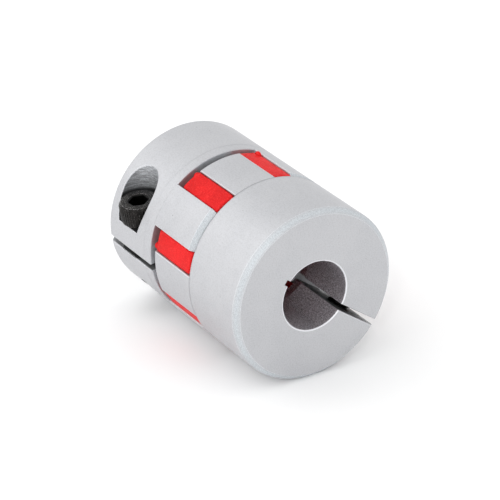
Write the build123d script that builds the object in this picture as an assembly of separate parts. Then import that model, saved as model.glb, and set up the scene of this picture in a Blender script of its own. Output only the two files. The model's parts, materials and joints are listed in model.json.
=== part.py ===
from build123d import *
import os
from math import cos, radians, sin, sqrt

# Clamp-type jaw coupling: two equal aluminium hubs, an eight-legged elastic spider between their
# jaws, and one clamp screw in each hub. All sizes are in millimetres.
#
# Frame: X is the shaft axis, with the near hub towards +X and the far hub towards -X. Z is up and
# the coupling lies on its side. The origin is on the shaft axis, halfway between the end faces.
# Angles about the axis are counted from +Y towards +Z.

# Coupling
OUTER_R = 15.0
LENGTH = 40.0
BORE_R = 6.0
NEAR_SLIT_ANGLE = 324.5
FAR_SLIT_ANGLE = 189.5  # 135 degrees from the near one, so the two sets of jaws are 45 degrees apart

# Jaws, four on each hub
JAW_COUNT = 4
ROOT_X = 6.1  # from the middle of the coupling to the face that the jaws stand on
JAW_TIP_X = 5.35  # how far past the middle a jaw reaches
JAW_INNER_R = 7.6
JAW_TIP_CHAMFER = 0.9  # on the outside, turned before the jaws are milled
JAW_TIP_BREAK = 0.2  # round the rest of the tip
LEG_GAP = 0.05  # between a leg and the jaws on either side of it

# Hub body
END_CHAMFER = 0.9
ROOT_CHAMFER = 0.15
BORE_CHAMFER = 0.12
RECESS_R = 7.4  # wider stretch of the bore, next to the spider
RECESS_DEPTH = 3.1
BAND_START_X = 6.35  # shallow turned band beside the jaws
BAND_END_X = 8.1
BAND_DEPTH = 0.025
SLIT_WIDTH = 1.08
SLIT_LIP_CHAMFER = 0.18
RELIEF_WIDTH = 1.0  # groove in the bore wall opposite the slit, where the clamp flexes
RELIEF_R = 6.8
EDGE_BREAK = 0.12  # along the jaws, the slit and the rim of the counterbore

# Clamp screw, M4 socket head
SCREW_X = 13.5  # from the middle of the coupling
SCREW_OFFSET = 11.5  # from the shaft axis
SEAT_HEIGHT = 4.45  # from the slit's middle plane to the face under the head
THREAD_R = 2.0
THREAD_LENGTH = 10.0
THREAD_CLEARANCE = 0.03
CLEARANCE_HOLE_R = 2.25
COUNTERBORE_R = 4.0
HEAD_R = 3.4
HEAD_HEIGHT = 4.0
HEAD_CHAMFER = 0.4
HEAD_GAP = 0.02  # film of clearance under the head
SOCKET_FLATS = 3.0
SOCKET_DEPTH = 2.2
TIP_CHAMFER = 0.5

# Spider
LEG_COUNT = 2 * JAW_COUNT
SPIDER_X = 0.3  # its middle, with its pads pushed up to the near hub
LEG_HALF_LENGTH = 5.25
LEG_OUTER_R = 14.75
LEG_OUTER_WIDTH = 3.85
LEG_INNER_WIDTH = 2.9
LEG_EDGE_CHAMFER = 0.2
RING_OUTER_R = 7.3
RING_INNER_R = 5.25
RING_HALF_LENGTH = 4.6
RING_CHAMFER = 0.4
PAD_R = 0.6  # spacer pads on the leg ends
PAD_HEIGHT = 0.5
PAD_CENTRE_R = 14.0
PAD_ACROSS = 1.24  # from the middle plane of the leg to the middle of the pad
PAD_SIDES = (1, 1, -1, -1)  # which edge of the leg each pad stands by, repeated round the spider

END_X = LENGTH / 2
FAR_OUT = 2 * OUTER_R  # safely beyond the outside of the coupling
PILOT_R = BORE_R / 2  # safely inside the bore
OVERCUT = 1.0  # how far a cutter runs past the face that it enters by
DIAGONAL_MARGIN = 1.0  # the middle of a hub's own jaw is no further from a line at 45 degrees


def hub_plane(direction, slit_angle):
    """Plane at the middle of the coupling, Z along the shaft towards the hub's end, X into the slit."""
    slit = radians(slit_angle)
    return Plane(origin=(0, 0, 0), x_dir=(0, cos(slit), sin(slit)), z_dir=(direction, 0, 0))


def screw_plane():
    """Seat of the clamp screw in a hub's own frame, Z pointing out of the screw's head."""
    return Plane(origin=(SCREW_OFFSET, SEAT_HEIGHT, SCREW_X), x_dir=(0, 0, 1), z_dir=(0, 1, 0))


def tube(outer, inner, low, high):
    """Plain tube about Z between two heights."""
    height = high - low
    place = Pos(0, 0, (low + high) / 2)
    return place * (Cylinder(outer, height) - Cylinder(inner, 2 * height))


def leg_outline(extra):
    """Tapered outline of one leg along +X, wider by a gap on each side."""
    inner_half = LEG_INNER_WIDTH / 2 + extra
    outer_half = LEG_OUTER_WIDTH / 2 + extra
    slope = (outer_half - inner_half) / (LEG_OUTER_R - RING_OUTER_R)
    start = RING_INNER_R
    start_half = inner_half - slope * (RING_OUTER_R - RING_INNER_R)
    end_half = outer_half + slope * (FAR_OUT - LEG_OUTER_R)
    return Polygon(
        (start, -start_half), (FAR_OUT, -end_half), (FAR_OUT, end_half), (start, start_half), align=None
    )


def jaws():
    """The four jaws of a hub: a ring cut by the spaces of the eight legs, without the other hub's four."""
    step = 360 / LEG_COUNT
    ring = tube(OUTER_R, JAW_INNER_R, -JAW_TIP_X, ROOT_X)
    slot = extrude(leg_outline(LEG_GAP), LENGTH, both=True)
    for leg in range(LEG_COUNT):
        ring -= Rot(0, 0, step * (leg + 0.5)) * slot
    wanted = []
    for solid in ring.solids():
        middle = solid.center()
        if abs(abs(middle.X) - abs(middle.Y)) < DIAGONAL_MARGIN:
            tip = solid.faces().sort_by(Axis.Z)[0]
            rim = tip.edges().filter_by(GeomType.CIRCLE).sort_by(SortBy.RADIUS)[-1]
            jaw = solid.chamfer(JAW_TIP_CHAMFER, None, [rim])
            tip = jaw.faces().sort_by(Axis.Z)[0]
            wanted.append(jaw.chamfer(JAW_TIP_BREAK, None, tip.edges()))
    return wanted


def hub_blank():
    """Turned body of a hub with its outer chamfers."""
    body = tube(OUTER_R, PILOT_R, ROOT_X, END_X)
    end_rim = body.faces().sort_by(Axis.Z)[-1].edges().sort_by(SortBy.RADIUS)[-1]
    body = chamfer(end_rim, END_CHAMFER)
    root_rim = body.faces().sort_by(Axis.Z)[0].edges().sort_by(SortBy.RADIUS)[-1]
    return chamfer(root_rim, ROOT_CHAMFER)


def bore_cut():
    """Everything that is removed along the shaft axis: bore, mouth chamfer, recess and relief."""
    bore = Pos(0, 0, END_X / 2) * Cylinder(BORE_R, END_X + 2 * OVERCUT)
    mouth = Pos(0, 0, END_X - BORE_CHAMFER / 2) * Cone(BORE_R, BORE_R + BORE_CHAMFER, BORE_CHAMFER)
    recess_top = ROOT_X + RECESS_DEPTH
    recess = Pos(0, 0, recess_top / 2) * Cylinder(RECESS_R, recess_top)
    relief = Pos(-RELIEF_R / 2, 0, END_X / 2) * Box(RELIEF_R, RELIEF_WIDTH, END_X + 2 * OVERCUT)
    return [bore, mouth, recess, relief]


def slit_cut():
    """The clamp slit from the bore to the outside, its lips broken at the root face."""
    half = FAR_OUT / 2
    slit = Pos(half, 0, END_X / 2) * Box(FAR_OUT, SLIT_WIDTH, END_X + 2 * OVERCUT)
    lip_width = SLIT_WIDTH + 2 * SLIT_LIP_CHAMFER
    lip = Polygon(
        (-lip_width / 2, 0),
        (lip_width / 2, 0),
        (SLIT_WIDTH / 2, SLIT_LIP_CHAMFER),
        (-SLIT_WIDTH / 2, SLIT_LIP_CHAMFER),
        align=None,
    )
    side = Plane(origin=(0, 0, ROOT_X), x_dir=(0, 1, 0), z_dir=(1, 0, 0))
    return [slit, extrude(side * lip, FAR_OUT)]


def screw_cut():
    """Counterbore, clearance hole and tapped hole of the clamp screw."""
    counterbore = Pos(0, 0, OUTER_R / 2) * Cylinder(COUNTERBORE_R, OUTER_R)
    clearance = Pos(0, 0, -SEAT_HEIGHT / 2) * Cylinder(CLEARANCE_HOLE_R, SEAT_HEIGHT + SLIT_WIDTH / 2)
    tapped = Pos(0, 0, -OUTER_R) * Cylinder(THREAD_R + THREAD_CLEARANCE, 2 * OUTER_R)
    return [screw_plane().location * cut for cut in (counterbore, clearance, tapped)]


def on_outside(edge):
    """Whether the middle of an edge lies on the hub's outer surface."""
    middle = edge @ 0.5
    return sqrt(middle.X**2 + middle.Y**2) > OUTER_R - EDGE_BREAK


def break_edges(body):
    """Takes the sharpness off the jaws, the outside and end of the slit, and the counterbore's rim."""
    along = body.edges().filter_by(Axis.Z)
    jaw_edges = along.filter_by_position(Axis.Z, -JAW_TIP_X, ROOT_X)
    body = body.chamfer(EDGE_BREAK, None, jaw_edges)
    outside = body.edges().filter_by(Axis.Z).filter_by(on_outside)
    slit_edges = outside.filter_by_position(Axis.Y, -SLIT_WIDTH, SLIT_WIDTH)
    body = body.chamfer(EDGE_BREAK, None, slit_edges)
    end_edges = body.faces().sort_by(Axis.Z)[-1].edges().filter_by(GeomType.LINE)
    body = body.chamfer(EDGE_BREAK, None, end_edges.filter_by(lambda edge: edge.length > RELIEF_R))
    rims = body.edges().filter_by(GeomType.BSPLINE).filter_by(on_outside)
    return body.chamfer(EDGE_BREAK, None, [rims.sort_by(SortBy.LENGTH)[-1]])


def hub():
    """One hub in its own frame: end face towards +Z, slit along +X, jaws centred at 45 degrees."""
    body = hub_blank() + jaws()
    body -= bore_cut() + slit_cut() + screw_cut()
    body = break_edges(body.solids().sort_by(SortBy.VOLUME)[-1])
    return body - tube(FAR_OUT, OUTER_R - BAND_DEPTH, BAND_START_X, BAND_END_X)


def clamp_screw():
    """Socket head cap screw with its head on +Z and the face under the head at the origin."""
    head = Pos(0, 0, HEAD_HEIGHT / 2) * Cylinder(HEAD_R, HEAD_HEIGHT)
    head = chamfer(head.edges().filter_by(GeomType.CIRCLE).sort_by(Axis.Z)[-1], HEAD_CHAMFER)
    shank = Pos(0, 0, -THREAD_LENGTH / 2) * Cylinder(THREAD_R, THREAD_LENGTH)
    shank = chamfer(shank.edges().filter_by(GeomType.CIRCLE).sort_by(Axis.Z)[0], TIP_CHAMFER)
    hexagon = RegularPolygon(SOCKET_FLATS / sqrt(3), 6)
    socket = Pos(0, 0, HEAD_HEIGHT - SOCKET_DEPTH) * extrude(hexagon, 2 * SOCKET_DEPTH)
    return Pos(0, 0, HEAD_GAP) * (head + shank - socket)


def spider_leg(pad_side):
    """One leg along +X, with a spacer pad near the outside corner of each end."""
    blade = extrude(leg_outline(0), LEG_HALF_LENGTH, both=True)
    blade &= Cylinder(LEG_OUTER_R, LENGTH)
    blade = chamfer(blade.faces().filter_by(Axis.Z).edges(), LEG_EDGE_CHAMFER)
    pad = Pos(PAD_CENTRE_R, pad_side * PAD_ACROSS, 0) * Cylinder(PAD_R, 2 * (LEG_HALF_LENGTH + PAD_HEIGHT))
    return blade + pad


def spider():
    """The elastic spider in the near hub's frame: a ring with eight legs, each midway between two jaws."""
    body = tube(RING_OUTER_R, RING_INNER_R, -RING_HALF_LENGTH, RING_HALF_LENGTH)
    body = chamfer(body.edges().filter_by(GeomType.CIRCLE), RING_CHAMFER)
    step = 360 / LEG_COUNT
    for leg in range(LEG_COUNT):
        side = PAD_SIDES[leg % len(PAD_SIDES)]
        body += Rot(0, 0, step * (leg + 0.5)) * spider_leg(side)
    hole = Cylinder(RING_INNER_R, LENGTH)
    return body - hole


def main():
    near = hub_plane(1, NEAR_SLIT_ANGLE).location
    far = hub_plane(-1, FAR_SLIT_ANGLE).location
    seat = screw_plane().location
    one_hub = hub()
    one_screw = clamp_screw()
    nodes = {
        "near_hub": near * one_hub,
        "far_hub": far * one_hub,
        "spider": Pos(SPIDER_X, 0, 0) * near * spider(),
        "near_clamp_screw": near * seat * one_screw,
        "far_clamp_screw": far * seat * one_screw,
    }
    os.makedirs("parts", exist_ok=True)
    for name, shape in nodes.items():
        export_step(shape, f"parts/{name}.step")


main()
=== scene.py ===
import json
from math import cos, pi, radians, sin, sqrt

import bpy
from mathutils import Matrix, Vector


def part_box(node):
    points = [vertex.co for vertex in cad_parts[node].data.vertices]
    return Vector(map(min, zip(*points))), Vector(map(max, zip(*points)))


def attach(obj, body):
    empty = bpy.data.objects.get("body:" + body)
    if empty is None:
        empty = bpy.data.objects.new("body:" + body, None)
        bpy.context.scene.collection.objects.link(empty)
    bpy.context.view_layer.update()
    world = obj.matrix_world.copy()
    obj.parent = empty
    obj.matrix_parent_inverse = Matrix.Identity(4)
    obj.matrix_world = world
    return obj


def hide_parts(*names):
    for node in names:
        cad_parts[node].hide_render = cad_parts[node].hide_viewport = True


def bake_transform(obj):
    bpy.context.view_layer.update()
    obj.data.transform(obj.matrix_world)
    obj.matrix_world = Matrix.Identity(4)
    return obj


# The looks of a clamp-type jaw coupling. Lengths are in metres. X is the shaft axis, Z is up, and
# angles about the axis are counted from +Y towards +Z, all as in the CAD model.

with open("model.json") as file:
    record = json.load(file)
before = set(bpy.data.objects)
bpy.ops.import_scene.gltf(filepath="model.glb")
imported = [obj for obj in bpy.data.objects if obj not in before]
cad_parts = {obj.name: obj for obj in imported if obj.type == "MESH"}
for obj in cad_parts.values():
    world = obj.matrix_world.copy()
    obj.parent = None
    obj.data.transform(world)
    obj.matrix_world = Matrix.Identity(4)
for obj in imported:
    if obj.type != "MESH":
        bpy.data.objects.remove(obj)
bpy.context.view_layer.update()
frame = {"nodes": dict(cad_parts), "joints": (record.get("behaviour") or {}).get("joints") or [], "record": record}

MM = 0.001

# Hubs, as in the CAD model
hub_low, hub_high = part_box("near_hub")
OUTER_R = (hub_high.z - hub_low.z) / 2
END_X = hub_high.x
mounts = {mount["name"]: mount for mount in frame["record"]["mounts"]}
BORE_R = mounts["near_bore"]["dims"]["r_mm"] * MM
COUNTERBORE_R = 4.0 * MM
END_CHAMFER = 0.9 * MM
RECESS_R = 7.4 * MM
RECESS_END_X = 9.2 * MM
BAND_START_X = 6.35 * MM  # the shallow turned band beside the jaws
BAND_END_X = 8.1 * MM
JAW_TIP_X = 5.35 * MM
JAW_TIP_CHAMFER = 0.9 * MM
NEAR_SLIT_ANGLE = 324.5
FAR_SLIT_ANGLE = 189.5
SLIT_WIDTH = 1.08 * MM

# Spider, as in the CAD model
JAW_PAIRS = 4
LEG_COUNT = 2 * JAW_PAIRS
SPIDER_X = 0.3 * MM
LEG_HALF_LENGTH = 5.25 * MM
LEG_OUTER_R = 14.75 * MM
LEG_OUTER_WIDTH = 3.85 * MM
LEG_INNER_WIDTH = 2.9 * MM
RING_OUTER_R = 7.3 * MM
RING_INNER_R = 5.25 * MM
RING_HALF_LENGTH = 4.6 * MM
PAD_R = 0.6 * MM
PAD_REACH = 5.75 * MM  # from the leg's middle to the pad's top
PAD_CENTRE_R = 14.0 * MM
PAD_ACROSS = 1.24 * MM
PAD_SIDES = (1, 1, -1, -1)  # 1 is towards rising angles about the axis

# Spider, finer than the CAD model, whose legs are all alike
LEG_INNER_R = 5.5 * MM
LEG_END_ROUND = 0.3 * MM
LEG_CORNER_R = 0.3 * MM
LEG_CROWN = 0.07 * MM  # how much thinner a leg's flanks are at its ends
ROOT_FILLET = 0.35 * MM
RING_ROUND = 0.35 * MM
PAD_DOME = 0.25 * MM
FLANK_STEP = 1.5 * MM  # spacing of the points up a leg's flank
FLAT_STEPS = 4  # points across half of a leg's inside or outside
RING_FACETS = 128
PAD_FACETS = 24
FLASH_FACETS = 16
LEG_STATIONS = (0.75, 0.5, 0.25)  # sections between a leg's end and its middle, as shares
SHORT_LEG = 4  # counted from 0, moulded a little short at its far end
SHORT_LEG_SHARE = 0.93
FLASH_LEG = 2  # counted from 0, with a lump of flash outside, near its far end
FLASH_X = -4.4 * MM
FLASH_ACROSS = 1.45 * MM
FLASH_LENGTH = 1.5 * MM
FLASH_WIDTH = 0.9 * MM
FLASH_OUTER_R = 15.2 * MM
FLASH_LEVELS = (  # depth under its top, and the share of its full size there
    (0.9 * MM, 1.0),
    (0.45 * MM, 1.0),
    (0.2 * MM, 0.75),
    (0.05 * MM, 0.5),
    (0.0, 0.3),
)

# Clamp screws, M4 x 10 with a socket head
PITCH = 0.7 * MM
THREAD_R = 2.0 * MM
THREAD_ROOT_R = 1.6 * MM
THREAD_PLAIN_R = THREAD_R - 0.15 * MM  # under the head
THREAD_CREST = 1.45  # with the flank's slope, this leaves a crest a quarter of the pitch wide
THREAD_SLOPE = 3.4  # rise of a flank in thread depths over one pitch
THREAD_STEPS = 8  # rings of points in one pitch
THREAD_FADE = 0.5 * PITCH  # length over which the thread grows out of the plain stretch
SHANK_LENGTH = 10.0 * MM
NECK_LENGTH = 0.7 * MM  # plain stretch under the head
TIP_CHAMFER = 0.5 * MM
HEAD_R = 3.4 * MM
HEAD_HEIGHT = 4.0 * MM
HEAD_CHAMFER = 0.4 * MM
HEAD_TOP_EDGE = ((1.0, 0.12), (1.3, 0.0), (1.6, 0.0))  # in and down, in shares of the chamfer
HEAD_FOOT_ROUND = 0.5 * MM
HEAD_GAP = 0.02 * MM
KNURL_COUNT = 44
SCREW_FACETS = 4 * KNURL_COUNT
KNURL_DEPTH = 0.11 * MM
SOCKET_FLATS = 3.0 * MM
SOCKET_DEPTH = 2.2 * MM
SOCKET_MOUTH = 0.2 * MM
SOCKET_DRILL_DEPTH = 0.5 * MM
SOCKET_DRILL_SHARE = 0.9  # the drilled floor's radius against the hexagon's inner radius
EDGE_STEP = 0.1 * MM  # a second ring of points this far from a corner keeps its shading crisp

# Colours, linear, with their alpha
SKIN_DARK = (0.475, 0.479, 0.497, 1)
SKIN_LIGHT = (0.518, 0.520, 0.536, 1)
BLAST_LIGHT = (0.62, 0.626, 0.648, 1)
GRIT_LIGHT = (0.63, 0.64, 0.665, 1)
GRIT_DARK = (0.34, 0.342, 0.352, 1)
PIT_DARK = (0.20, 0.20, 0.205, 1)
MACHINED_DARK = (0.26, 0.238, 0.258, 1)
MACHINED_LIGHT = (0.86, 0.83, 0.87, 1)
MILLED_DARK = (0.23, 0.25, 0.262, 1)
MILLED_LIGHT = (0.64, 0.68, 0.70, 1)
# painted shade down in the counterbore, round a screw's head
SHADE_BESIDE_HEAD = (0.03, 0.03, 0.031, 1)
# painted highlight: the chamfers are lighter and bluer than the skin, for the light they catch
CHAMFER_HIGHLIGHT_DARK = (0.51, 0.535, 0.56, 1)
CHAMFER_HIGHLIGHT_LIGHT = (0.65, 0.685, 0.71, 1)
# painted shade on the walls inside a hub's slit
SLIT_SHADE = (0.05, 0.048, 0.045, 1)
# wear and painted highlight along a hub's edges and round its bore's rim
EDGE_WEAR_AND_HIGHLIGHT = (0.88, 0.89, 0.92, 1)
RED_DEEP = (0.60, 0.006, 0.007, 1)
RED_CLEAR = (0.73, 0.011, 0.012, 1)
RED_SPECK = (0.55, 0.01, 0.012, 1)
# painted shade on the spider near and on its ring, deep inside the coupling
RED_SHADE_BY_RING = (0.17, 0.003, 0.004, 1)
# painted shade: thin dark lines along the legs' edges
RED_EDGE_SHADE = (0.16, 0.002, 0.003, 1)
RED_GRIT_LIGHT = (0.90, 0.06, 0.05, 1)
RED_GRIT_DARK = (0.36, 0.003, 0.005, 1)
OXIDE_DARK = (0.004, 0.0036, 0.0035, 1)
OXIDE_LIGHT = (0.017, 0.0150, 0.0140, 1)
OXIDE_RINGS = (0.26, 0.25, 0.25, 1)
OXIDE_WORN = (0.24, 0.23, 0.225, 1)
# painted shade in a screw's socket
SOCKET_SHADE = (0.004, 0.004, 0.004, 1)
PAPER_DARK = (0.96, 0.96, 0.96, 1)
PAPER_LIGHT = (0.98, 0.98, 0.98, 1)

# Where finishes start and stop
FADE_END = 0.06 * MM  # a cut surface's finish is gone this far outside the cut
FADE_START = 0.02 * MM  # and whole up to this far outside it
SKIN_DEPTH = 0.08 * MM  # what lies this far under a hub's outside is a cut's wall, not its skin
BLACK_TURNING_PITCH = 0.36 * MM  # rings on top of a screw's head
SOCKET_SHADE_R = 2.0 * MM  # painted shade fills a screw's socket this near its axis, under its head's top

# Stage
WORLD_STRENGTH = 1.03
FLOOR_SIDE = 3.0
FLOOR_CELLS = 24
LAMP_DISTANCE = 0.6
LAMPS = (  # name, direction from the coupling, side in metres, watts
    ("key", (0.634, -0.523, 0.570), 0.05, 0.34),
    ("top", (-0.5, -0.5, 0.7), 0.5, 0.50),
    ("left", (-0.2, -0.95, 0.25), 0.5, 0.58),
)

# Camera: the angle, distance and lens of the view
VIEW_AZIMUTH = 57.461
VIEW_ELEVATION = 27.532
VIEW_DISTANCE = 0.41783
VIEW_RIGHT = 0.44 * MM  # where the view's middle lies, right of and above the shaft's middle
VIEW_UP = -0.51 * MM
LENS = 182.69
SENSOR = 36.0
CLIP_START = 0.01
CLIP_END = 20

SHARP_ANGLE = radians(35)
QUARTER = [step * pi / 8 for step in range(5)]  # a quarter turn in four steps


# ---------------------------------------------------------------- geometry helpers


def radial(angle):
    """Unit vector away from the shaft axis at an angle in degrees."""
    return Vector((0, cos(radians(angle)), sin(radians(angle))))


def new_object(name, vertices, faces):
    """A smooth-shaded mesh object whose edges over 35 degrees stay sharp."""
    mesh = bpy.data.meshes.new(name)
    mesh.from_pydata(vertices, [], faces)
    mesh.validate()
    mesh.shade_smooth()
    mesh.set_sharp_from_angle(angle=SHARP_ANGLE)
    made = bpy.data.objects.new(name, mesh)
    bpy.context.scene.collection.objects.link(made)
    return made


def loft(rows, first_tip=None, last_tip=None):
    """Vertices and faces of a closed skin over rows of points. An end without a tip gets a flat face."""
    count = len(rows[0])
    vertices = [point for row in rows for point in row]
    faces = []
    for row in range(len(rows) - 1):
        for i in range(count):
            here = row * count + i
            beside = row * count + (i + 1) % count
            faces.append((here, beside, beside + count, here + count))
    last = (len(rows) - 1) * count
    for tip, ring in ((first_tip, range(count)), (last_tip, range(last, last + count))):
        ring = list(ring)
        turned = ring if ring[0] else ring[::-1]
        if tip is None:
            faces.append(turned)
            continue
        vertices.append(tip)
        for i in range(count):
            faces.append((turned[i], turned[(i + 1) % count], len(vertices) - 1))
    return vertices, faces


def apply_modifiers(piece):
    """Makes the modifiers' result the piece's own mesh."""
    graph = bpy.context.evaluated_depsgraph_get()
    mesh = bpy.data.meshes.new_from_object(piece.evaluated_get(graph))
    piece.modifiers.clear()
    piece.data = mesh
    return piece


def unite(piece, other):
    """Joins another closed mesh into a piece as one solid."""
    union = piece.modifiers.new("unite", "BOOLEAN")
    union.operation = "UNION"
    union.solver = "EXACT"
    union.object = other
    apply_modifiers(piece)
    bpy.data.objects.remove(other)
    piece.data.set_sharp_from_angle(angle=SHARP_ANGLE)
    return piece


# ---------------------------------------------------------------- materials


def add(tree, kind, settings=None, **inputs):
    """Adds a node. Each input is a constant or the socket that feeds it."""
    made = tree.nodes.new("ShaderNode" + kind)
    for name, value in (settings or {}).items():
        setattr(made, name, value)
    for name, value in inputs.items():
        feed(tree, value, made.inputs[name.replace("_", " ")])
    return made


def feed(tree, value, socket):
    """Links a socket to an input, or sets the input's constant."""
    if isinstance(value, bpy.types.NodeSocket):
        tree.links.new(value, socket)
    else:
        socket.default_value = value


def compute(tree, operation, *values):
    """Result socket of a Math node."""
    made = tree.nodes.new("ShaderNodeMath")
    made.operation = operation
    for socket, value in zip(made.inputs, values):
        feed(tree, value, socket)
    return made.outputs[0]


def remap(tree, value, low, high, to_low=0.0, to_high=1.0):
    """Result socket of a smooth clamped range change."""
    made = add(tree, "MapRange", {"interpolation_type": "SMOOTHSTEP"}, Value=value)
    numbers = {"From Min": low, "From Max": high, "To Min": to_low, "To Max": to_high}
    for name, number in numbers.items():
        made.inputs[name].default_value = number
    return made.outputs[0]


def noise(tree, position, scale, detail=2.0, roughness=0.5):
    """Noise from 0 to 1 whose features are about 1 / scale metres wide."""
    made = add(tree, "TexNoise", Vector=position, Scale=scale, Detail=detail, Roughness=roughness)
    return made.outputs["Fac"]


def mix(tree, factor, one, other):
    """Colour between one, at factor 0, and other, at factor 1."""
    made = tree.nodes.new("ShaderNodeMix")
    made.data_type = "RGBA"
    feed(tree, factor, made.inputs[0])
    feed(tree, one, made.inputs[6])
    feed(tree, other, made.inputs[7])
    return made.outputs[2]


def product(tree, *masks):
    """Masks and numbers multiplied together."""
    result = masks[0]
    for mask in masks[1:]:
        result = compute(tree, "MULTIPLY", result, mask)
    return result


def within(tree, distance, limit):
    """Mask of the places whose distance is up to a limit, fading out just past it."""
    return remap(tree, distance, limit + FADE_END, limit + FADE_START)


def bevel(tree, radius, samples=4):
    """Normal that turns round edges over a radius."""
    return add(tree, "Bevel", {"samples": samples}, Radius=radius).outputs[0]


def bump(tree, height, distance, strength, normal=None):
    """Normal from a height of 0 to 1 times a distance."""
    made = add(tree, "Bump", Height=height, Distance=distance, Strength=strength)
    if normal is not None:
        tree.links.new(normal, made.inputs["Normal"])
    return made.outputs[0]


def new_material(name):
    """A plain material: itself, its tree, its shader and the object's coordinates."""
    material = bpy.data.materials.new(name)
    material.use_nodes = True
    tree = material.node_tree
    shader = tree.nodes["Principled BSDF"]
    position = tree.nodes.new("ShaderNodeTexCoord").outputs["Object"]
    return material, tree, shader, position


def axis_distance(tree, position, point, direction):
    """Distance from a line through a point."""
    offset = add(tree, "VectorMath", {"operation": "SUBTRACT"})
    feed(tree, position, offset.inputs[0])
    feed(tree, tuple(point), offset.inputs[1])
    across = add(tree, "VectorMath", {"operation": "CROSS_PRODUCT"})
    feed(tree, offset.outputs[0], across.inputs[0])
    feed(tree, tuple(direction), across.inputs[1])
    length = add(tree, "VectorMath", {"operation": "LENGTH"})
    feed(tree, across.outputs[0], length.inputs[0])
    return length.outputs["Value"]


def sharp_edges(tree, rounded, low, high):
    """Mask from 0 to 1 of the places where a surface turns sharply."""
    flat = tree.nodes.new("ShaderNodeNewGeometry").outputs["Normal"]
    dot = add(tree, "VectorMath", {"operation": "DOT_PRODUCT"})
    feed(tree, rounded, dot.inputs[0])
    feed(tree, flat, dot.inputs[1])
    return remap(tree, compute(tree, "SUBTRACT", 1.0, dot.outputs["Value"]), low, high)


def along(tree, position, point, direction):
    """Signed distance from a point along a direction."""
    offset = add(tree, "VectorMath", {"operation": "SUBTRACT"})
    feed(tree, position, offset.inputs[0])
    feed(tree, tuple(point), offset.inputs[1])
    dot = add(tree, "VectorMath", {"operation": "DOT_PRODUCT"})
    feed(tree, offset.outputs[0], dot.inputs[0])
    feed(tree, tuple(direction), dot.inputs[1])
    return dot.outputs["Value"]


def cut_masks(tree, position, far_along, radius, joint, slit_angle):
    """Masks of a hub's bore with its recess, its counterbore and the walls of its slit."""
    inside = within(tree, radius, OUTER_R - SKIN_DEPTH)
    before_floor = remap(tree, far_along, RECESS_END_X + 0.02 * MM, RECESS_END_X - 0.02 * MM)
    recess = product(tree, within(tree, radius, RECESS_R), before_floor)
    bore = compute(tree, "MAXIMUM", within(tree, radius, BORE_R), recess)
    from_screw = axis_distance(tree, position, joint["pos_m"], joint["axis"])
    pocket = product(tree, within(tree, from_screw, COUNTERBORE_R), inside)

    from_slit = compute(tree, "ABSOLUTE", along(tree, position, (0, 0, 0), radial(slit_angle + 90)))
    wall = remap(tree, from_slit, SLIT_WIDTH / 2 + 0.05 * MM, SLIT_WIDTH / 2 + 0.02 * MM)
    off_face = remap(tree, far_along, END_X - 0.05 * MM, END_X - 0.15 * MM)
    towards_slit = along(tree, position, (0, 0, 0), radial(slit_angle))
    slit_half = remap(tree, towards_slit, BORE_R - 0.3 * MM, BORE_R)
    return bore, pocket, product(tree, wall, off_face, inside, slit_half)


def chamfer_mask(tree, x, far_along, radius, jaw_side):
    """Mask of the chamfers round a hub's end and on the tips of its jaws."""
    start, full = 1.3 * END_CHAMFER, 0.5 * END_CHAMFER
    past_end = remap(tree, far_along, END_X - start, END_X - full)
    near_rim = remap(tree, radius, OUTER_R - start, OUTER_R - full)
    tip_start = JAW_TIP_X - JAW_TIP_CHAMFER
    rim_start = OUTER_R - JAW_TIP_CHAMFER
    past_jaw = remap(tree, product(tree, x, jaw_side), tip_start, tip_start + 0.03 * MM)
    tip_rim = remap(tree, radius, rim_start, rim_start + 0.03 * MM)
    return compute(tree, "MAXIMUM", product(tree, past_end, near_rim), product(tree, past_jaw, tip_rim))


def hub_edges(tree, far_along, radius):
    """Rounded normal of a hub, softest round its end chamfer, and mask of its edges, painted light as wear and as
    a painted highlight.
    """
    by_end = remap(tree, far_along, END_X - 2 * END_CHAMFER, END_X - 1.6 * END_CHAMFER)
    by_outside = remap(tree, radius, OUTER_R - 1.9 * END_CHAMFER, OUTER_R - 1.6 * END_CHAMFER)
    fine = bevel(tree, 0.12 * MM)
    soft = bevel(tree, 0.5 * MM, samples=8)
    rounded = mix(tree, product(tree, by_end, by_outside), fine, soft)

    off_band = remap(tree, far_along, BAND_END_X + 0.3 * MM, BAND_END_X + 0.1 * MM, 1.0, 0.2)
    on_jaws = remap(tree, far_along, BAND_START_X - 0.35 * MM, BAND_START_X - 0.45 * MM)
    share = compute(tree, "MAXIMUM", off_band, on_jaws)
    wear_and_highlight = product(tree, sharp_edges(tree, fine, 0.01, 0.09), share)
    # painted highlight: a bright ring on the end face round the bore's rim
    at_face = remap(tree, far_along, END_X - 0.16 * MM, END_X - 0.10 * MM)
    by_bore = remap(tree, radius, BORE_R + 0.26 * MM, BORE_R + 0.16 * MM)
    return rounded, compute(tree, "MAXIMUM", wear_and_highlight, product(tree, at_face, by_bore))


def blasted_skin(tree, position, blast, mottle):
    """Colour of a bead-blasted outside: light and dark grit, a few pits and soft clouds."""
    cloud = noise(tree, position, 90, 3.0, 0.5)
    grit = noise(tree, position, 4000, 2.0, 0.6)
    pits = remap(tree, noise(tree, position, 1700, 2.0, 0.5), 0.745, 0.785)
    tone = compute(tree, "ADD", product(tree, mottle, 0.5), product(tree, cloud, 0.5))
    skin = mix(tree, remap(tree, tone, 0.35, 0.65), SKIN_DARK, SKIN_LIGHT)
    skin = mix(tree, remap(tree, blast, 0.3, 0.7, 0.0, 0.30), skin, BLAST_LIGHT)
    skin = mix(tree, remap(tree, grit, 0.35, 0.65, 0.0, 0.30), skin, GRIT_LIGHT)
    skin = mix(tree, remap(tree, grit, 0.5, 0.3, 0.0, 0.12), skin, GRIT_DARK)
    return mix(tree, product(tree, pits, 0.7), skin, PIT_DARK)


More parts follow.
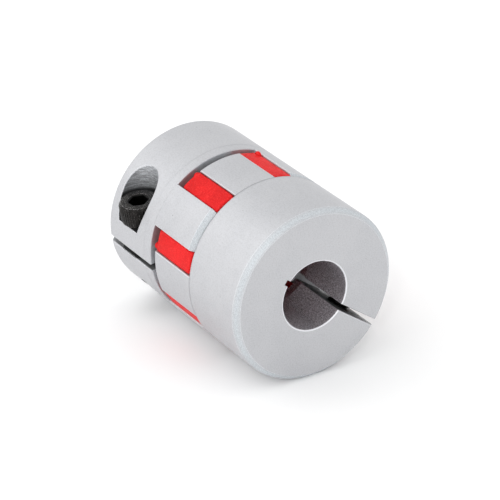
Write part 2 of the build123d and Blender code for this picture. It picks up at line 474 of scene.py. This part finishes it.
def milled_wall(tree, position, x, joint, machined):
    """Colour of the counterbore: streaks round its wall, and painted shade beside the screw's head."""
    above_seat = along(tree, position, joint["pos_m"], joint["axis"])
    stretched = add(tree, "CombineXYZ", X=above_seat, Y=product(tree, x, 0.2))
    streak = noise(tree, stretched.outputs[0], 4200, 3.0, 0.6)
    milled = mix(tree, remap(tree, streak, 0.35, 0.65), MILLED_DARK, MILLED_LIGHT)
    milled = mix(tree, 0.35, milled, machined)
    # painted shade: the wall darkens towards the seat, in the narrow gap round the head
    shade_by_head = remap(tree, above_seat, HEAD_HEIGHT + 0.3 * MM, HEAD_HEIGHT - 0.4 * MM, 0.0, 0.85)
    return mix(tree, shade_by_head, milled, SHADE_BESIDE_HEAD)


def aluminium_material(name, joint, jaw_side, slit_angle):
    """Clear-anodised aluminium: blasted outside, machined in its cuts, with painted shade in its slit and beside
    the screw's head, a painted highlight on its chamfers, and edges painted light for wear and highlight.
    """
    material, tree, shader, position = new_material(name)
    x = add(tree, "SeparateXYZ", Vector=position).outputs[0]
    far_along = compute(tree, "ABSOLUTE", x)
    radius = axis_distance(tree, position, (0, 0, 0), (1, 0, 0))
    in_bore, in_pocket, in_slit = cut_masks(tree, position, far_along, radius, joint, slit_angle)
    on_chamfer = chamfer_mask(tree, x, far_along, radius, jaw_side)
    rounded, pale_edges = hub_edges(tree, far_along, radius)
    blast = noise(tree, position, 5500, 3.0, 0.6)
    mottle = noise(tree, position, 420, 4.0, 0.55)

    skin = blasted_skin(tree, position, blast, mottle)
    machined = mix(tree, remap(tree, blast, 0.3, 0.7), MACHINED_DARK, MACHINED_LIGHT)
    # painted highlight on the chamfers
    chamfer = mix(tree, remap(tree, blast, 0.35, 0.65), CHAMFER_HIGHLIGHT_DARK, CHAMFER_HIGHLIGHT_LIGHT)
    colour = mix(tree, in_bore, skin, machined)
    colour = mix(tree, on_chamfer, colour, chamfer)
    colour = mix(tree, in_pocket, colour, milled_wall(tree, position, x, joint, machined))
    # painted shade on the slit's walls
    colour = mix(tree, product(tree, in_slit, 0.5), colour, SLIT_SHADE)
    # wear and painted highlight on the edges
    colour = mix(tree, product(tree, pale_edges, 0.85), colour, EDGE_WEAR_AND_HIGHLIGHT)
    feed(tree, colour, shader.inputs["Base Color"])

    rough = compute(tree, "ADD", product(tree, mottle, 0.12), 0.42)
    rough = compute(tree, "ADD", rough, product(tree, on_chamfer, 0.12))
    feed(tree, rough, shader.inputs["Roughness"])
    in_cut = compute(tree, "MAXIMUM", in_bore, in_pocket)
    grain = compute(tree, "ADD", blast, product(tree, in_cut, blast))
    feed(tree, bump(tree, grain, 0.03 * MM, 0.8, rounded), shader.inputs["Normal"])
    shader.inputs["Metallic"].default_value = 0.8
    return material


def polyurethane_material():
    """Red moulded polyurethane: satin and finely grained, with painted shade along its edges and near the ring."""
    material, tree, shader, position = new_material("red_polyurethane")
    cloud = noise(tree, position, 260, 3.0, 0.6)
    grain = noise(tree, position, 2600, 3.0, 0.6)
    grit = noise(tree, position, 4600, 2.0, 0.6)
    speck = remap(tree, noise(tree, position, 1500, 2.0, 0.5), 0.68, 0.76)
    radius = axis_distance(tree, position, (0, 0, 0), (1, 0, 0))
    shade_by_ring = remap(tree, radius, RING_OUTER_R + 0.8 * MM, RING_OUTER_R)
    edge_shade = sharp_edges(tree, bevel(tree, 0.22 * MM), 0.01, 0.1)

    red = mix(tree, remap(tree, cloud, 0.3, 0.7), RED_DEEP, RED_CLEAR)
    red = mix(tree, product(tree, speck, 0.3), red, RED_SPECK)
    # painted shade: darker towards the ring, so that the hub's relief notch looks dark
    red = mix(tree, shade_by_ring, red, RED_SHADE_BY_RING)
    # painted shade along the legs' edges, where they meet the jaws
    red = mix(tree, product(tree, edge_shade, 0.75), red, RED_EDGE_SHADE)
    red = mix(tree, remap(tree, grit, 0.5, 0.7, 0.0, 0.4), red, RED_GRIT_LIGHT)
    red = mix(tree, remap(tree, grit, 0.5, 0.3, 0.0, 0.22), red, RED_GRIT_DARK)
    feed(tree, red, shader.inputs["Base Color"])
    feed(tree, remap(tree, grain, 0.2, 0.8, 0.45, 0.62), shader.inputs["Roughness"])
    feed(tree, bump(tree, grain, 0.045 * MM, 0.9), shader.inputs["Normal"])
    shader.inputs["Specular IOR Level"].default_value = 0.13
    shader.inputs["Subsurface Weight"].default_value = 0.15
    shader.inputs["Subsurface Radius"].default_value = (1.0, 0.25, 0.2)
    shader.inputs["Subsurface Scale"].default_value = 0.8 * MM
    return material


def black_oxide_material(name, joint):
    """Black oxide on steel: turned rings on top of the head, worn edges, painted shade in the socket."""
    material, tree, shader, position = new_material(name)
    patch = noise(tree, position, 900, 4.0, 0.6)
    grain = noise(tree, position, 6000, 2.0, 0.5)
    radius = axis_distance(tree, position, joint["pos_m"], joint["axis"])
    top = Vector(joint["pos_m"]) + Vector(joint["axis"]) * (HEAD_GAP + HEAD_HEIGHT)
    above_top = along(tree, position, top, joint["axis"])
    on_top = remap(tree, above_top, -0.3 * MM, -0.05 * MM)
    under_top = remap(tree, above_top, -0.02 * MM, -0.12 * MM)
    by_axis = remap(tree, radius, SOCKET_SHADE_R + 0.05 * MM, SOCKET_SHADE_R - 0.05 * MM)

    wave = compute(tree, "SINE", product(tree, radius, 2 * pi / BLACK_TURNING_PITCH))
    turned = product(tree, remap(tree, wave, 0, 1, 0.02, 0.75), remap(tree, grain, 0.46, 0.62))
    flecks = product(tree, remap(tree, grain, 0.62, 0.70), 0.6)
    pale_edges = sharp_edges(tree, bevel(tree, 0.1 * MM), 0.02, 0.2)
    pale_edges = product(tree, pale_edges, remap(tree, patch, 0.45, 0.65, 0.0, 0.6))

    tone = mix(tree, remap(tree, patch, 0.35, 0.7), OXIDE_DARK, OXIDE_LIGHT)
    tone = mix(tree, product(tree, on_top, turned), tone, OXIDE_RINGS)
    tone = mix(tree, compute(tree, "MAXIMUM", flecks, pale_edges), tone, OXIDE_WORN)
    # painted shade: the socket and its mouth stay black, without rings, flecks or worn edges
    tone = mix(tree, product(tree, under_top, by_axis), tone, SOCKET_SHADE)
    feed(tree, tone, shader.inputs["Base Color"])
    feed(tree, remap(tree, patch, 0.3, 0.7, 0.3, 0.48), shader.inputs["Roughness"])
    feed(tree, bump(tree, grain, 0.012 * MM, 0.7), shader.inputs["Normal"])
    shader.inputs["Metallic"].default_value = 0.8
    return material


def floor_material():
    """Pale matt paper."""
    material, tree, shader, position = new_material("pale_paper")
    cloud = noise(tree, position, 14, 4.0, 0.5)
    fibre = noise(tree, position, 900, 3.0, 0.6)
    pale = mix(tree, cloud, PAPER_DARK, PAPER_LIGHT)
    feed(tree, pale, shader.inputs["Base Color"])
    feed(tree, bump(tree, fibre, 0.02 * MM, 0.2), shader.inputs["Normal"])
    shader.inputs["Roughness"].default_value = 0.9
    return material


# ---------------------------------------------------------------- spider


def leg_half_width(rho):
    """Half a leg's width at a distance from the shaft axis, flared where it runs into the ring."""
    share = (rho - RING_OUTER_R) / (LEG_OUTER_R - RING_OUTER_R)
    half = (LEG_INNER_WIDTH + share * (LEG_OUTER_WIDTH - LEG_INNER_WIDTH)) / 2
    rise = min(1, max(0, 1 - (rho - RING_OUTER_R) / ROOT_FILLET))
    return half + ROOT_FILLET * (1 - sqrt(1 - rise * rise))


def leg_section(x, inset):
    """Closed outline of a leg at one place along the shaft, drawn in by an inset."""
    outer = LEG_OUTER_R - inset
    inner = LEG_INNER_R + inset
    crown = LEG_CROWN * (x / LEG_HALF_LENGTH) ** 4
    shares = [(step + 0.5) / FLAT_STEPS for step in range(FLAT_STEPS)]
    inner_half = leg_half_width(inner) - inset
    half = [(inner_half * share, inner) for share in shares]
    rises = [inner, RING_OUTER_R - ROOT_FILLET, RING_OUTER_R]
    rises += [RING_OUTER_R + ROOT_FILLET * (1 - cos(turn)) for turn in QUARTER[1:]]
    rises += [RING_OUTER_R + FLANK_STEP * step for step in range(1, 4)]
    rises.append(outer - LEG_CORNER_R)
    half += [(leg_half_width(rho) - inset - crown, rho) for rho in rises]
    middle = leg_half_width(outer) - inset - crown - LEG_CORNER_R
    for turn in QUARTER[1:]:
        half.append((middle + LEG_CORNER_R * cos(turn), outer - LEG_CORNER_R + LEG_CORNER_R * sin(turn)))
    half += [(middle * share, outer) for share in reversed(shares)]
    outline = half + [(-w, rho) for w, rho in reversed(half)]
    return [Vector((x, w, sqrt(rho * rho - w * w))) for w, rho in outline]


def leg_rows(far_share):
    """Sections of a leg with rounded ends, -X end first. Its -X half is a share of its full length."""
    stations = [(LEG_HALF_LENGTH, 2 * LEG_END_ROUND)]
    for turn in QUARTER:
        inset = LEG_END_ROUND * (1 - sin(turn))
        stations.append((LEG_HALF_LENGTH - LEG_END_ROUND * (1 - cos(turn)), inset))
    stations += [(LEG_HALF_LENGTH * share, 0) for share in LEG_STATIONS]
    whole = [(-x * far_share, inset) for x, inset in stations] + [(0, 0)] + stations[::-1]
    return [leg_section(x, inset) for x, inset in whole]


def full_circle(facets):
    """Angles of points evenly round a circle."""
    return [2 * pi * i / facets for i in range(facets)]


def pad_pin(side):
    """The spacer pads of both ends of a leg, as one pin right through it."""
    across = -side * PAD_ACROSS
    half = []
    for turn in QUARTER[:4]:
        half.append((PAD_REACH - PAD_DOME * (1 - cos(turn)), PAD_R - PAD_DOME * (1 - sin(turn))))
    half.append((PAD_REACH - PAD_DOME, PAD_R))
    turns = full_circle(PAD_FACETS)
    rows = []
    for x, r in [(-x, r) for x, r in half] + half[::-1]:
        rows.append([Vector((x, across + r * cos(t), PAD_CENTRE_R + r * sin(t))) for t in turns])
    return new_object("pad_pin", *loft(rows))


def flash_lump():
    """A low lump that stands out of a leg's outside and narrows towards its top."""
    turns = full_circle(FLASH_FACETS)
    rows = []
    for depth, share in FLASH_LEVELS:
        length, width = FLASH_LENGTH * share / 2, FLASH_WIDTH * share / 2
        height = FLASH_OUTER_R - depth
        row = [(FLASH_X + length * cos(t), FLASH_ACROSS + width * sin(t), height) for t in turns]
        rows.append([Vector(point) for point in row])
    return new_object("flash", *loft(rows))


def leg_mesh(side, far_share, flash):
    """One leg standing along +Z, with its pads on one side, and with or without a lump of flash."""
    leg = new_object("leg", *loft(leg_rows(far_share)))
    unite(leg, pad_pin(side))
    if flash:
        unite(leg, flash_lump())
    mesh = leg.data
    bpy.data.objects.remove(leg)
    return mesh


def spider_ring(material):
    """The ring that the legs grow from."""
    profile = []
    for turn in QUARTER:
        near_end, near_side = RING_ROUND * (1 - sin(turn)), RING_ROUND * (1 - cos(turn))
        profile.append((RING_HALF_LENGTH - near_end, RING_OUTER_R - near_side))
    for turn in QUARTER:
        near_end, near_side = RING_ROUND * (1 - cos(turn)), RING_ROUND * (1 - sin(turn))
        profile.append((RING_HALF_LENGTH - near_end, RING_INNER_R + near_side))
    profile += [(-x, r) for x, r in reversed(profile)]
    turns = full_circle(RING_FACETS)
    vertices = [Vector((x, r * cos(t), r * sin(t))) for x, r in profile for t in turns]
    faces = []
    for row in range(len(profile)):
        here = row * RING_FACETS
        after = (row + 1) % len(profile) * RING_FACETS
        for i in range(RING_FACETS):
            j = (i + 1) % RING_FACETS
            faces.append((here + i, after + i, after + j, here + j))
    ring = new_object("spider_ring", vertices, faces)
    ring.data.transform(Matrix.Translation((SPIDER_X, 0, 0)))
    ring.data.materials.append(material)
    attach(ring, "spider")
    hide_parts("spider")


def spider_legs(material):
    """Eight legs round the ring, each with its pads on one flank."""
    step = 360 / LEG_COUNT
    for leg in range(LEG_COUNT):
        angle = NEAR_SLIT_ANGLE + step * (leg + 0.5)
        side = PAD_SIDES[leg % len(PAD_SIDES)]
        mesh = leg_mesh(side, SHORT_LEG_SHARE if leg == SHORT_LEG else 1, leg == FLASH_LEG)
        upright = Matrix.Rotation(radians(angle - 90), 4, "X")
        mesh.transform(Matrix.Translation((SPIDER_X, 0, 0)) @ upright)
        mesh.materials.clear()
        mesh.materials.append(material)
        piece = bpy.data.objects.new(f"spider_leg_{leg + 1}", mesh)
        bpy.context.scene.collection.objects.link(piece)
        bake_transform(piece)


# ---------------------------------------------------------------- clamp screws


def thread_radius(height, turn):
    """Radius of the M4 thread at a height under the head and a turn from 0 to 1."""
    phase = (height / PITCH - turn) % 1
    ridge = min(1, max(0, THREAD_CREST - abs(phase - 0.5) * THREAD_SLOPE))
    fade_in = min(1, max(0, (-height - NECK_LENGTH) / THREAD_FADE))
    grown = THREAD_ROOT_R + (THREAD_R - THREAD_ROOT_R) * ridge
    at_tip = THREAD_R - TIP_CHAMFER + SHANK_LENGTH + height
    return min(THREAD_PLAIN_R + (grown - THREAD_PLAIN_R) * fade_in, at_tip)


def hexagon_radius(turn):
    """Distance from the middle to a hexagon of the socket's size at a turn from 0 to 1."""
    from_flat = (turn * 6) % 1 - 0.5
    return SOCKET_FLATS / 2 / cos(from_flat * pi / 3)


def knurl_radius(turn):
    """Radius of the knurled head at a turn from 0 to 1."""
    phase = (turn * KNURL_COUNT) % 1
    return HEAD_R - KNURL_DEPTH * abs(2 * phase - 1)


def screw_rows(facets):
    """Rings of a cap screw from its tip to its socket's floor, head on +Z, seat at the origin."""
    turns = [i / facets for i in range(facets)]
    rows = []

    def ring(height, radius):
        points = [(radius(t) * cos(2 * pi * t), radius(t) * sin(2 * pi * t)) for t in turns]
        rows.append([Vector((x, y, height)) for x, y in points])

    steps = THREAD_STEPS * round(SHANK_LENGTH / PITCH)
    ring(-SHANK_LENGTH, lambda t: (THREAD_R - TIP_CHAMFER) / 2)
    for step in range(steps + 1):
        height = -SHANK_LENGTH * (1 - step / steps)
        ring(height, lambda t: thread_radius(height, t))
    base = HEAD_GAP
    foot = HEAD_R - KNURL_DEPTH - HEAD_FOOT_ROUND
    ring(base, lambda t: THREAD_R)
    ring(base, lambda t: foot - EDGE_STEP)
    ring(base, lambda t: foot)
    ring(base + HEAD_FOOT_ROUND, lambda t: HEAD_R - KNURL_DEPTH)
    ring(base + 2 * HEAD_FOOT_ROUND, knurl_radius)
    top = base + HEAD_HEIGHT
    ring(top - HEAD_CHAMFER - KNURL_DEPTH, knurl_radius)
    ring(top - HEAD_CHAMFER, lambda t: HEAD_R - KNURL_DEPTH)
    for inwards, down in HEAD_TOP_EDGE:
        ring(top - HEAD_CHAMFER * down, lambda t: HEAD_R - HEAD_CHAMFER * inwards)
    mouth = SOCKET_FLATS / sqrt(3) + SOCKET_MOUTH
    ring(top, lambda t: mouth + EDGE_STEP)
    ring(top, lambda t: mouth)
    ring(top - SOCKET_MOUTH, hexagon_radius)
    ring(top - SOCKET_DEPTH, hexagon_radius)
    ring(top - SOCKET_DEPTH, lambda t: SOCKET_FLATS / 2 * SOCKET_DRILL_SHARE)
    return rows


def clamp_screw(name, node, joint, material):
    """A detailed screw in place of a CAD one, on its joint's axis, riding the screw's own body."""
    tip = Vector((0, 0, -SHANK_LENGTH))
    drill_point = Vector((0, 0, HEAD_GAP + HEAD_HEIGHT - SOCKET_DEPTH - SOCKET_DRILL_DEPTH))
    screw = new_object(name, *loft(screw_rows(SCREW_FACETS), tip, drill_point))
    out = Vector(joint["axis"])
    side = Vector((1, 0, 0))
    turn = Matrix((side, out.cross(side), out)).transposed().to_4x4()
    screw.data.transform(Matrix.Translation(joint["pos_m"]) @ turn)
    screw.data.materials.append(material)
    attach(screw, node)
    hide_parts(node)


# ---------------------------------------------------------------- stage


def floor():
    """A wide pale floor that the coupling lies on."""
    ticks = [FLOOR_SIDE * (i / FLOOR_CELLS - 0.5) for i in range(FLOOR_CELLS + 1)]
    vertices = [(x, y, -OUTER_R) for y in ticks for x in ticks]
    count = len(ticks)
    faces = []
    for row in range(FLOOR_CELLS):
        for i in range(FLOOR_CELLS):
            here = row * count + i
            faces.append((here, here + 1, here + count + 1, here + count))
    made = new_object("floor", vertices, faces)
    made.data.materials.append(floor_material())


def area_light(name, direction, size, watts):
    """A square white lamp that faces the coupling from a direction."""
    data = bpy.data.lights.new(name, "AREA")
    data.energy = watts
    data.size = size
    lamp = bpy.data.objects.new(name, data)
    lamp.location = Vector(direction).normalized() * LAMP_DISTANCE
    lamp.rotation_euler = (-lamp.location).to_track_quat("-Z", "Y").to_euler()
    bpy.context.scene.collection.objects.link(lamp)


def studio():
    """A white tent, a small key lamp close beside the view, and two large lamps above and to the left."""
    world = bpy.data.worlds.new("white_tent")
    world.use_nodes = True
    background = world.node_tree.nodes["Background"]
    background.inputs["Color"].default_value = (1, 1, 1, 1)
    background.inputs["Strength"].default_value = WORLD_STRENGTH
    bpy.context.scene.world = world
    for lamp in LAMPS:
        area_light(*lamp)


def camera():
    """The camera, at the angle and distance of the view."""
    azimuth, elevation = radians(VIEW_AZIMUTH), radians(VIEW_ELEVATION)
    back = Vector((sin(azimuth) * cos(elevation), -cos(azimuth) * cos(elevation), sin(elevation)))
    right = Vector((cos(azimuth), sin(azimuth), 0))
    up = back.cross(right)
    data = bpy.data.cameras.new("camera")
    data.lens = LENS
    data.sensor_width = SENSOR
    data.clip_start = CLIP_START
    data.clip_end = CLIP_END
    made = bpy.data.objects.new("camera", data)
    made.matrix_world = Matrix((right, up, back)).transposed().to_4x4()
    made.location = back * VIEW_DISTANCE + right * VIEW_RIGHT + up * VIEW_UP
    bpy.context.scene.collection.objects.link(made)
    bpy.context.scene.camera = made


def main():
    """Dresses the CAD hubs, then builds the spider, the screws and the stage."""
    bpy.context.scene.view_settings.view_transform = "Standard"
    joints = {joint["name"]: joint for joint in frame["joints"]}
    hubs = (
        ("near_hub", joints["near_screw_turn"], -1, NEAR_SLIT_ANGLE),
        ("far_hub", joints["far_screw_turn"], 1, FAR_SLIT_ANGLE),
    )
    for node, joint, jaw_side, slit_angle in hubs:
        mesh = frame["nodes"][node].data
        mesh.materials.clear()
        mesh.materials.append(aluminium_material(node + "_aluminium", joint, jaw_side, slit_angle))
    red = polyurethane_material()
    spider_ring(red)
    spider_legs(red)
    for end in ("near", "far"):
        joint = joints[end + "_screw_turn"]
        black = black_oxide_material(end + "_black_oxide", joint)
        clamp_screw(end + "_cap_screw", end + "_clamp_screw", joint, black)
    floor()
    studio()
    camera()


main()
